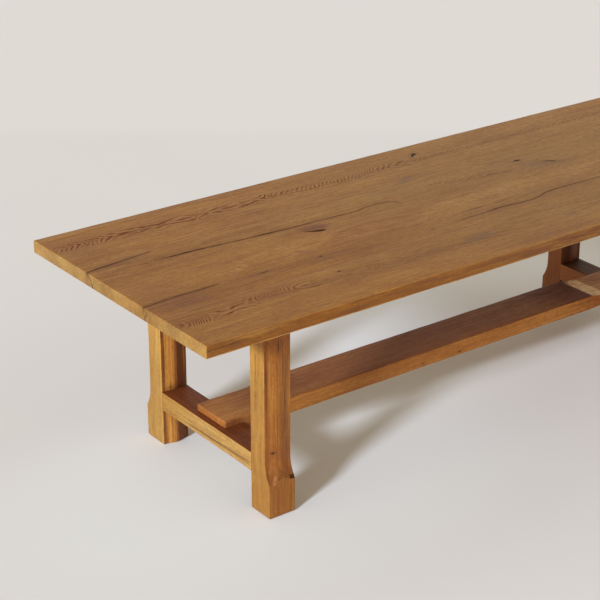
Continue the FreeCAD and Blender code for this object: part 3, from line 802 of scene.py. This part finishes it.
def leg_ring(row, seed, checks):
    """Points round a leg: x from its face at the table's end, y from its foot's face."""
    z_flat = row_height(row, foot_top(SCOOP_DEPTH))
    inset = FOOT_ARRIS * (1 - sin(row[1])) if row[0] == "arris" else 0
    waver = 1.1 * wobble(z_flat, 90, seed)
    left = inset + 0.9 * wobble(z_flat, 120, seed + 20) + 0.3 * wobble(z_flat, 25, seed + 30)
    right = LEG_WIDTH - inset - 0.9 * wobble(z_flat, 110, seed + 40) - 0.3 * wobble(z_flat, 28, seed + 50)
    inner_line = LEG_DEPTH - inset
    radius = LEG_ARRIS * (0.6 + 0.8 * wobble(z_flat, 45, seed + 60))

    def outer(x):
        """The outer side's y and z at a distance across the leg."""
        depth = SCOOP_DEPTH - facet(x, OUTER_RIDGE)
        z = row_height(row, foot_top(depth))
        back = 0 if row[0] == "edge" and row[1] <= 0 else scoop(depth, z)
        return back + inset + (0.6 if z > SCOOP_TOP else 0.3) * waver, z

    # The outer side, from the table's end inwards, and the face towards the table's middle.
    ring = []
    for x in leg_columns(OUTER_RIDGE):
        y, z = outer(x)
        # The painted shade goes into the stain attribute, and its deepest part, mostly in the scoop's hollow,
        # also into the crack attribute as near-black painted shadow.
        painted_shade = outer_painted_shade(x, z, seed)
        ring.append((np.clip(x, left + radius, right - radius), y, z, max(0, painted_shade - 0.85) * 5, painted_shade))
    y_far, z_far = outer(LEG_WIDTH - LEG_MARGIN / 2)
    ring += arc(right - radius, y_far + radius, radius, z_far, (-60, -30, 0))
    for share in (0.2, 0.5, 0.8):
        y = y_far + radius + (inner_line - y_far - 2 * radius) * share
        ring.append((right, y, z_flat + (z_far - z_flat) * (1 - share), 0, 0))
    ring += arc(right - radius, inner_line - radius, radius, z_flat, (0, 30, 60))

    # The inner side back again, which is flat at the cross stretcher, and the end face.
    for x in reversed(leg_columns(INNER_RIDGE)):
        height = facet(x, INNER_RIDGE)
        proud = 0 if RAIL_JOINT[0] < z_flat < RAIL_JOINT[1] else height - 0.8 * waver * (height > 0)
        place = np.clip(x, left + radius, right - radius)
        # Painted shade on the inner side goes into the stain attribute.
        ring.append((place, inner_line + proud, z_flat, 0, inner_painted_shade(x, z_flat, seed)))
    ring += arc(left + radius, inner_line - radius, radius, z_flat, (120, 150, 180))
    y_near, z_near = outer(LEG_MARGIN / 2)
    cracks = [(check, inner_line - radius - check.centre(z_flat)) for check in checks]
    for deep, y, *rest in side_points((0, inner_line - radius), (0, y_near + radius), cracks, z_flat, 3):
        share = (inner_line - y) / (inner_line - y_near)
        ring.append((left + deep, y, z_flat + (z_near - z_flat) * share, *rest))
    return ring + arc(left + radius, y_near + radius, radius, z_near, (180, 210, 240))


def build_leg(name, material, checks):
    low, high = box_mm(name)
    end = 1 if low[0] + high[0] > 0 else -1
    side = 1 if low[1] + high[1] > 0 else -1
    end_x = low[0] if end < 0 else high[0]
    foot_y = low[1] if side < 0 else high[1]
    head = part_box("bearer_left")[0][2] / MM
    rings = []
    for row in leg_rows(head):
        ring = leg_ring(row, 11 + 2 * end + side, checks)
        ring = [(end_x - end * x, foot_y - side * y, *rest) for x, y, *rest in ring]
        rings.append(ring if end * side > 0 else ring[::-1])
    skin(name, rings, material)


# Painted light and shade: tints of the sides that face along an axis, by how the light falls on them, and
# where on the rounded corners they begin.
NEAR_SHADES = [("Y", (0.98, 0.74, 0.49)), ("X", (1.07, 1.08, 0.81)), ("+X", (1.08, 1.02, 0.95), (0.15, 0.3))]
REAR_SHADES = [("Y", (0.9, 0.68, 0.57)), ("X", (0.69, 0.66, 0.69)), ("-X", (1.5, 1.68, 1.35), (0.03, 0.2)),
               ("+X", (0.66, 0.53, 0.54), (0.03, 0.2)), ("+X", (1.4, 1.5, 1.5), (0.6, 0.95))]
FAR_SHADES = [("Y", (0.75, 0.47, 0.5)), ("X", (0.7, 0.5, 0.53)), ("-Y", (0.6, 0.55, 0.5)),
              ("-X", (0.5, 0.48, 0.45), (0.12, 0.28)), ("-X", (2.35, 2.3, 2.2), (0.5, 0.95)),
              ("+Y", (1.22, 1.45, 1.05)), ("+X", (1.22, 1.45, 1.3), (0.5, 0.95))]
RIGHT_SHADES = [("Y", (0.92, 0.68, 0.52)), ("X", (0.85, 0.73, 0.7))]

# Painted light and shade on the legs by height, in metres, all round and on some sides only: darker at the
# floor, and lighter up towards the top where the top's shadow falls.
LEG_LEVELS = [(0, 0.66), (0.006, 0.84), (0.13, 0.84), (0.17, 0.93), (0.3, 1), (0.57, 1),
              (0.6, (0.86, 0.77, 0.84)), (0.64, (1.12, 1.13, 1.1)), (0.67, (1.23, 1.32, 1.22)),
              (0.71, (1.37, 1.38, 1.34))]
REAR_LEVELS = [(0, 0.8), (0.006, 1), (0.6, 1), (0.66, 1.15), (0.71, 1.4)]
NEAR_SIDE_LEVELS = [
    ("X", [(0, 1), (0.1, (0.96, 0.92, 0.86)), (0.15, (0.89, 0.82, 0.73)), (0.26, (0.9, 0.86, 0.78)),
           (0.32, (0.97, 0.97, 0.94)), (0.38, 1), (0.44, (1.07, 1.13, 1.04)), (0.5, (1.15, 1.18, 1.04)),
           (0.57, (1.24, 1.22, 1.12)), (0.71, (1.24, 1.22, 1.12))]),
    ("Y", [(0, 1), (0.15, (0.92, 0.85, 0.82)), (0.22, (0.88, 0.79, 0.75)), (0.27, (0.97, 0.97, 0.9)),
           (0.32, (0.95, 0.91, 0.85)), (0.39, (1.12, 1.2, 1.08)), (0.46, (1.1, 1.16, 1.06)), (0.5, 1),
           (0.56, (1.12, 1.08, 1)), (0.71, 1.05)])]
REAR_SIDE_LEVELS = [("X", [(0, 0.96), (0.27, 0.95), (0.35, (1.13, 1.17, 1.14)), (0.45, (1.22, 1.25, 1.2)),
                           (0.71, (1.22, 1.25, 1.2))])]

# The near leg's marks: height, place across its front side, angle, half height and half width.
NEAR_STREAKS = [(690, 18, 0, 70, 3, 0.85), (668, 30, 0, 50, 2.5, 0.7), (655, 44, 0, 80, 3, 0.6),
                (585, 50, 0, 32, 2.5, 0.95), (400, 77, 0, 46, 2.2, 0.95), (320, 74, 0, 50, 2.2, 0.6),
                (470, 26, 0, 130, 2, 0.4), (500, 66, 0, 110, 2.5, 0.55), (300, 46, 0, 90, 2, 0.35),
                (380, 57, 0, 60, 2, 0.35), (60, 52, 0, 40, 3, 0.4), (70, 86, 0, 40, 3, 0.3)]
# Among these, the dark patch high on the front side just below the top is painted shade.
NEAR_STAINS_AND_SHADE = [(440, 85, 0, 300, 12, 0.2, srgb("68422a")), (50, 51, 0, 90, 130, 0.4, srgb("8f5618")),
               (690, 36, 0, 60, 26, 0.55, srgb("703a1c")), (50, 37, 0, 65, 8, 0.6, srgb("86421e")),
               (400, 26, 0, 200, 4, 0.15, srgb("c48640")), (360, 13, 0, 280, 7, 0.45, srgb("763e1c")),
               (132, 26, 30, 14, 7, 0.85, srgb("d68e4e"))]
NEAR_KNOTS = [(222, 24, 0, 3, 2.4, 0.8), (221, 31, 0, 5, 3, 0.95), (223, 41, 0, 2.5, 2, 0.5)]
NEAR_CHECKS = [Crack([(355, 71, 0), (362, 71, 1), (430, 70, 0.8), (434, 70, 0), (446, 69.5, 0),
                      (450, 69.4, 0.8), (550, 68, 0.8), (556, 68, 0)], 4, 0.9, stain=0.3)]

# Each leg's tints, its levels and those of some sides, all painted light and shade.
LEGS = {"leg_front_left": (NEAR_SHADES, LEG_LEVELS, NEAR_SIDE_LEVELS),
        "leg_rear_left": (REAR_SHADES, REAR_LEVELS, REAR_SIDE_LEVELS),
        "leg_front_right": (RIGHT_SHADES, LEG_LEVELS, ()),
        "leg_rear_right": (FAR_SHADES, LEG_LEVELS, ())}
chance = random.Random(7)
for leg_number, (leg, (tints, levels, side_levels)) in enumerate(LEGS.items()):
    if leg == "leg_front_left":
        streaks, stains, knots, checks = NEAR_STREAKS, NEAR_STAINS_AND_SHADE, NEAR_KNOTS, NEAR_CHECKS
    else:
        streaks = [(chance.uniform(150, 650), chance.uniform(16, 86), 0, chance.uniform(30, 110),
                    chance.uniform(1.5, 3.5), chance.uniform(0.2, 0.4)) for _ in range(4)]
        knots = [(chance.uniform(150, 600), chance.uniform(25, 75), 0, chance.uniform(2.5, 5),
                  chance.uniform(2, 3), 0.8) for _ in range(2)]
        stains, checks = [], ()
    stains = [(*streak, STREAK) for streak in streaks] + stains
    leg_low, leg_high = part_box(leg)
    pith = [(leg_low[axis] + leg_high[axis]) / 2 + LEG_PITH[axis] for axis in range(2)]
    origin = (0, leg_low[0])
    wood = oak(leg + "_oak", "Z", pith, ring=0.0071, contrast=0.22, veins=0.5, calm=0.8, seed=20 + leg_number,
               tints=tints, lengthwise=levels, face_levels=side_levels,
               stains=placed(origin, stains), knots=placed(origin, knots))
    build_leg(leg, wood, checks)

# ---- the cross stretchers

RAIL_STATIONS = 60
# Where a cross stretcher's pith line lies, from its middle and its underside, in metres.
RAIL_PITH = (0.03, -0.06)


def build_cross_stretcher(name, material, checks):
    """A cross stretcher between its two legs, with checks in its outer side.

    Its tenons stay hidden in the legs.
    """
    low, high = box_mm(name)
    reach = HALF_WIDTH - FOOT_INSET - LEG_DEPTH
    outward = 1 if low[0] + high[0] > 0 else -1
    seed = 40 + outward
    rings = []
    for y in np.linspace(-reach, reach, RAIL_STATIONS):
        free = min(1, (reach - abs(y)) / 40)
        sway = [free * (0.8 * wobble(y, 120, seed + n) + 0.25 * wobble(y, 25, seed + n + 5))
                for n in range(4)]
        worn = [2 + 1.2 * free * wobble(y, 50, seed + 9 + n) for n in range(4)]
        place = y + HALF_WIDTH
        bottom, top = low[2] + sway[0], high[2] - sway[1]
        outer = ([(check, top - check.centre(place)) for check in checks], 2)
        inner = ([], 3)
        sides = [inner, inner, ([], 4), outer] if outward < 0 else [inner, outer, ([], 4), inner]
        ring = section((low[0] + sway[2], bottom), (high[0] - sway[3], top), worn, sides, place)
        rings.append([(x, y, *rest) for x, *rest in reversed(ring)])
    skin(name, rings, material)


RAIL_CHECKS = [Crack([(235, 160, 0), (270, 160, 0.8), (420, 156, 1), (560, 153, 0.7), (600, 152, 0)], 5, 1.4,
                     stain=0.4)]
# Each one's tints and its levels by y in metres on one side, which are painted light and shade, and its
# checks.
RAILS = {
    "cross_stretcher_left": (
        [("+Z", (0.48, 0.25, 0.24)), ("X", (1.06, 1.02, 0.82))],
        ("-X", [(-0.26, (1.08, 1.25, 1.5)), (0.02, (1.08, 1.3, 1.65)), (0.1, (1, 1.13, 1.25)),
                (0.18, (0.91, 0.99, 0.94)), (0.26, (0.88, 0.88, 0.74))]), RAIL_CHECKS),
    "cross_stretcher_right": (
        [("+Z", (0.42, 0.3, 0.26)), ("X", (0.8, 0.52, 0.5)), ("+X", (1.12, 1.45, 1.35))],
        ("+Z", [(-0.26, 0.6), (-0.18, 1), (0.12, 1), (0.2, 0.65), (0.26, 0.35)]), ())}
for rail_number, (rail, (tints, levels, checks)) in enumerate(RAILS.items()):
    rail_low, rail_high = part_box(rail)
    pith = ((rail_low[0] + rail_high[0]) / 2 + RAIL_PITH[0], rail_low[2] + RAIL_PITH[1])
    wood = oak(rail + "_oak", "Y", pith, tints=tints, veins=0.5, seed=30 + rail_number, face_levels=[levels])
    build_cross_stretcher(rail, wood, checks)

# ---- the long stretcher

RAIL_INNER_X = 882
RAMP_FOOT_X = 779
RAMP_HEAD_X = 705
BOARD_UNDERSIDE = 180
TONGUE_UNDERSIDE = 202
TONGUE_TOP = 225
BOARD_TOP = 234
TONGUE_CORNER = 9
BOARD_END_ARRIS = 3
BOARD_SIDES = (87, 83)


def board_stations(end_x):
    corner = [TONGUE_CORNER * (1 - cos(angle)) for angle in np.linspace(0, pi / 2, 7)]
    half = [end_x - step for step in corner]
    half += [*np.linspace(end_x - TONGUE_CORNER - 10, RAIL_INNER_X + 2, 5), RAIL_INNER_X, RAIL_INNER_X - 0.01]
    half += [*np.linspace(RAIL_INNER_X - 2, RAMP_FOOT_X + 2, 8)]
    half += [*np.linspace(RAMP_FOOT_X, RAMP_HEAD_X, 9)[:-1]]
    half += [RAMP_HEAD_X + 1.5, RAMP_HEAD_X, RAMP_HEAD_X - 1.5, *np.linspace(RAMP_HEAD_X - 12, 6, 48)]
    return sorted([-x for x in half] + half)


def board_top(far):
    """Height of the upper side at a distance from the middle: tongue, scooped ramp or board."""
    run, step = RAMP_FOOT_X - RAMP_HEAD_X, BOARD_TOP - TONGUE_TOP
    radius = (run * run + step * step) / (2 * step)
    if far >= RAMP_FOOT_X:
        return TONGUE_TOP
    if far > RAMP_HEAD_X:
        return TONGUE_TOP + radius - sqrt(radius ** 2 - (RAMP_FOOT_X - far) ** 2)
    return BOARD_TOP


def build_long_stretcher(name, material):
    end_x = box_mm(name)[1][0]
    rings = []
    for x in board_stations(end_x):
        far = abs(x)
        half = float(np.interp(far, [RAMP_HEAD_X, RAMP_FOOT_X], BOARD_SIDES))
        half -= end_inset(x, -end_x, end_x, TONGUE_CORNER)
        rounding = end_inset(x, -end_x, end_x, BOARD_END_ARRIS)
        free = 0 if RAIL_INNER_X - 5 < far else 1
        front = -half + rounding + 0.9 * wobble(x, 160, 61) + 0.3 * wobble(x, 30, 62)
        rear = half - rounding - 0.9 * wobble(x, 150, 63)
        top = board_top(far) - rounding - 0.6 * free * wobble(x, 140, 64)
        bottom = TONGUE_UNDERSIDE if far >= RAIL_INNER_X else BOARD_UNDERSIDE
        bottom += rounding + 0.8 * free * wobble(x, 150, 65)
        worn = 2.2 + 1.6 * wobble(x, 60, 66)
        sides = [([], 4), ([], 2), ([], 7), ([], 2)]
        ring = section((front, bottom), (rear, top), [1.5, 1.5, worn, worn], sides, x)
        rings.append([(x, *point) for point in ring])
    skin(name, rings, material)


# Levels of the upper side along the board, in metres, mostly painted light and shade: paler on the tongues
# and darker before the right ramp, where shade falls, with a pale band on that ramp. Then its marks, in
# metres.
BOARD_LEVELS = [(-1, (1.66, 1.85, 1.7)), (-0.9, (1.45, 1.62, 1.46)), (-0.77, 1), (-0.1, (0.98, 0.92, 0.94)),
                (0.2, (0.96, 0.9, 0.94)), (0.45, (0.92, 0.91, 0.9)), (0.6, (0.55, 0.43, 0.4)),
                (0.702, (0.46, 0.33, 0.28)), (0.71, (2.8, 5, 9)), (0.775, (2.8, 5, 9)),
                (0.783, (1.64, 2, 2.55)), (1, (1.6, 2, 2.4))]
BOARD_RED = srgb("8c4822")
# Darker red-brown along the board's sides near its ends, and painted shadow at the rear corner of the right
# ramp.
BOARD_MARKS_AND_SHADE = [(-0.98, -0.087, 0, 0.16, 0.013, 1, srgb("7e4824")),
                (-0.98, 0.087, 0, 0.16, 0.013, 1, srgb("7e4824")),
                (0.93, -0.087, 0, 0.3, 0.007, 1, srgb("7e411a")),
                (0.93, 0.087, 0, 0.3, 0.007, 1, srgb("7e411a")),
                (0.714, 0.078, 35, 0.03, 0.018, 0.85, srgb("543222"))]
BOARD_SIDE_MARKS = [(-0.128, 0.196, 0, 0.006, 0.003, 0.9, STREAK),
                    (0.044, 0.193, 10, 0.009, 0.0045, 1, STREAK),
                    (-0.35, 0.19, 0, 0.12, 0.008, 0.3, BOARD_RED),
                    (-0.1, 0.212, 0, 0.25, 0.008, 0.25, BOARD_RED),
                    (0.15, 0.2, 0, 0.12, 0.012, 0.2, BOARD_RED)]
# Its tints are painted light and shade by which way its sides face.
build_long_stretcher("long_stretcher", oak(
    "long_stretcher_oak", "X", (0.05, 0.08), veins=0.5, seed=40, face_levels=[("+Z", BOARD_LEVELS)],
    tints=[("Y", (1.05, 0.81, 0.54)), ("+Z", (0.78, 0.59, 0.64)), ("X", (0.92, 0.64, 0.46))],
    stains=BOARD_MARKS_AND_SHADE, side_marks=BOARD_SIDE_MARKS))

# ---- the hidden pieces

HIDDEN = (
    (oak("bearer_oak", "Y", (0, 0.5), seed=50), ("bearer_left", "bearer_right")),
    (oak("spline_oak", "X", (0, 0.5), seed=60), ("spline_front", "spline_middle", "spline_rear")),
    (zinc("screw_zinc"), ("top_screws", "stretcher_screws")))
for material, nodes in HIDDEN:
    for node in nodes:
        for material_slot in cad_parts[node].material_slots:
            material_slot.material = material

# ---- floor, light and camera

YAW = radians(36.82)
PITCH = radians(23.83)
HEADING = Vector((sin(YAW), cos(YAW), 0))
CAMERA_PLACE = (-3.726, -4.179, 2.836)
LENS = 103.97
FLOOR_REACH = 40
FAR_FLOOR = srgb("dfdad4")
# Painted light on the floor: paler patches round the table where its shade falls, each with its centre, its
# reach and its colour.
FLOOR_LIGHT_PATCHES = (((-0.8, -0.08), (1.3, 0.85), srgb("e6e6e1")), ((0.75, 0.58), (1.15, 0.5), srgb("f3f5f7")))

# A broad soft light from beyond the left end, low and a little to the front, and a warm
# even fill. Together they give a level of 1 on the floor.
KEY_WAY = Vector((-0.8625, -0.322, 0.39)).normalized()
KEY_ANGLE = radians(9)
FILL = (0.6, 0.555, 0.47)
HORIZON = 1.8
ZENITH = 0.6


def build_floor():
    """A floor, very slightly paler past a soft line behind the table, with painted light: a little paler
    towards the camera and in patches round the table.
    """
    s = Shader(bpy.data.materials.new("floor_paint"))
    place = s.value("TexCoord", {}, "Object")
    x, y, _ = s.parts(place)
    beyond = x * HEADING.x + y * HEADING.y
    colour = s.mix(s.noise(place, (1.2, 1.2, 1.2), 3), srgb("d9d4ce"), srgb("ded9d3"))
    colour = s.mix(s.span(beyond, -0.4, -1.6), colour, srgb("dedad4"))
    for centre, reach, paint in FLOOR_LIGHT_PATCHES:
        aside, away = (x - centre[0]) / reach[0], (y - centre[1]) / reach[1]
        colour = s.mix(s.span(s.math("SQRT", aside * aside + away * away), 1, 0.35), colour, paint)
    colour = s.mix(s.span(beyond, 2.85, 3.1), colour, FAR_FLOOR)
    mesh = bpy.data.meshes.new("floor")
    corners = [(x * FLOOR_REACH, y * FLOOR_REACH, 0) for x, y in ((-1, -1), (1, -1), (1, 1), (-1, 1))]
    mesh.from_pydata(corners, [], [(0, 1, 2, 3)])
    mesh.materials.append(s.finish(colour, 0.9, s.noise(place, (400, 400, 400)), 0.0001, specular=0.1))
    put("floor", mesh)


def aim(name, data, place, ahead):
    """A light or camera at a place, looking ahead."""
    thing = put(name, data)
    thing.location = place
    thing.rotation_euler = Vector(ahead).to_track_quat("-Z", "Y").to_euler()
    return thing


def build_light():
    key = bpy.data.lights.new("key", "SUN")
    key.angle = KEY_ANGLE
    key.energy = pi * (1 - FILL[0]) / KEY_WAY.z
    key.color = [(1 - fill) / (1 - FILL[0]) for fill in FILL]
    aim("key", key, KEY_WAY * 5, -KEY_WAY)


def build_world():
    """The fill, and past the floor the floor's own tone for the camera and reflections."""
    s = Shader(bpy.data.worlds.new("studio"))
    height = s.parts(s.value("TexCoord", {}, "Generated"))[2]
    strength = s.value("MapRange", {"Value": height, "To Min": HORIZON, "To Max": ZENITH})
    fill = s.value("Background", {"Color": (*FILL, 1), "Strength": strength})
    backdrop = s.value("Background", {"Color": FAR_FLOOR})
    rays = s.node("LightPath", {}).outputs
    seen = s.most(*[Value(s, rays[ray]) for ray in ("Is Camera Ray", "Is Glossy Ray", "Is Transmission Ray")])
    s.node("OutputWorld", {"Surface": s.value("MixShader", {0: seen, 1: fill, 2: backdrop})})
    bpy.context.scene.world = s.owner


def build_camera():
    camera = bpy.data.cameras.new("camera")
    camera.sensor_width = 36
    camera.lens = LENS
    camera.clip_end = 200
    ahead = (HEADING.x * cos(PITCH), HEADING.y * cos(PITCH), -sin(PITCH))
    bpy.context.scene.camera = aim("camera", camera, CAMERA_PLACE, ahead)


build_floor()
build_light()
build_world()
build_camera()
bpy.context.scene.view_settings.view_transform = "Standard"
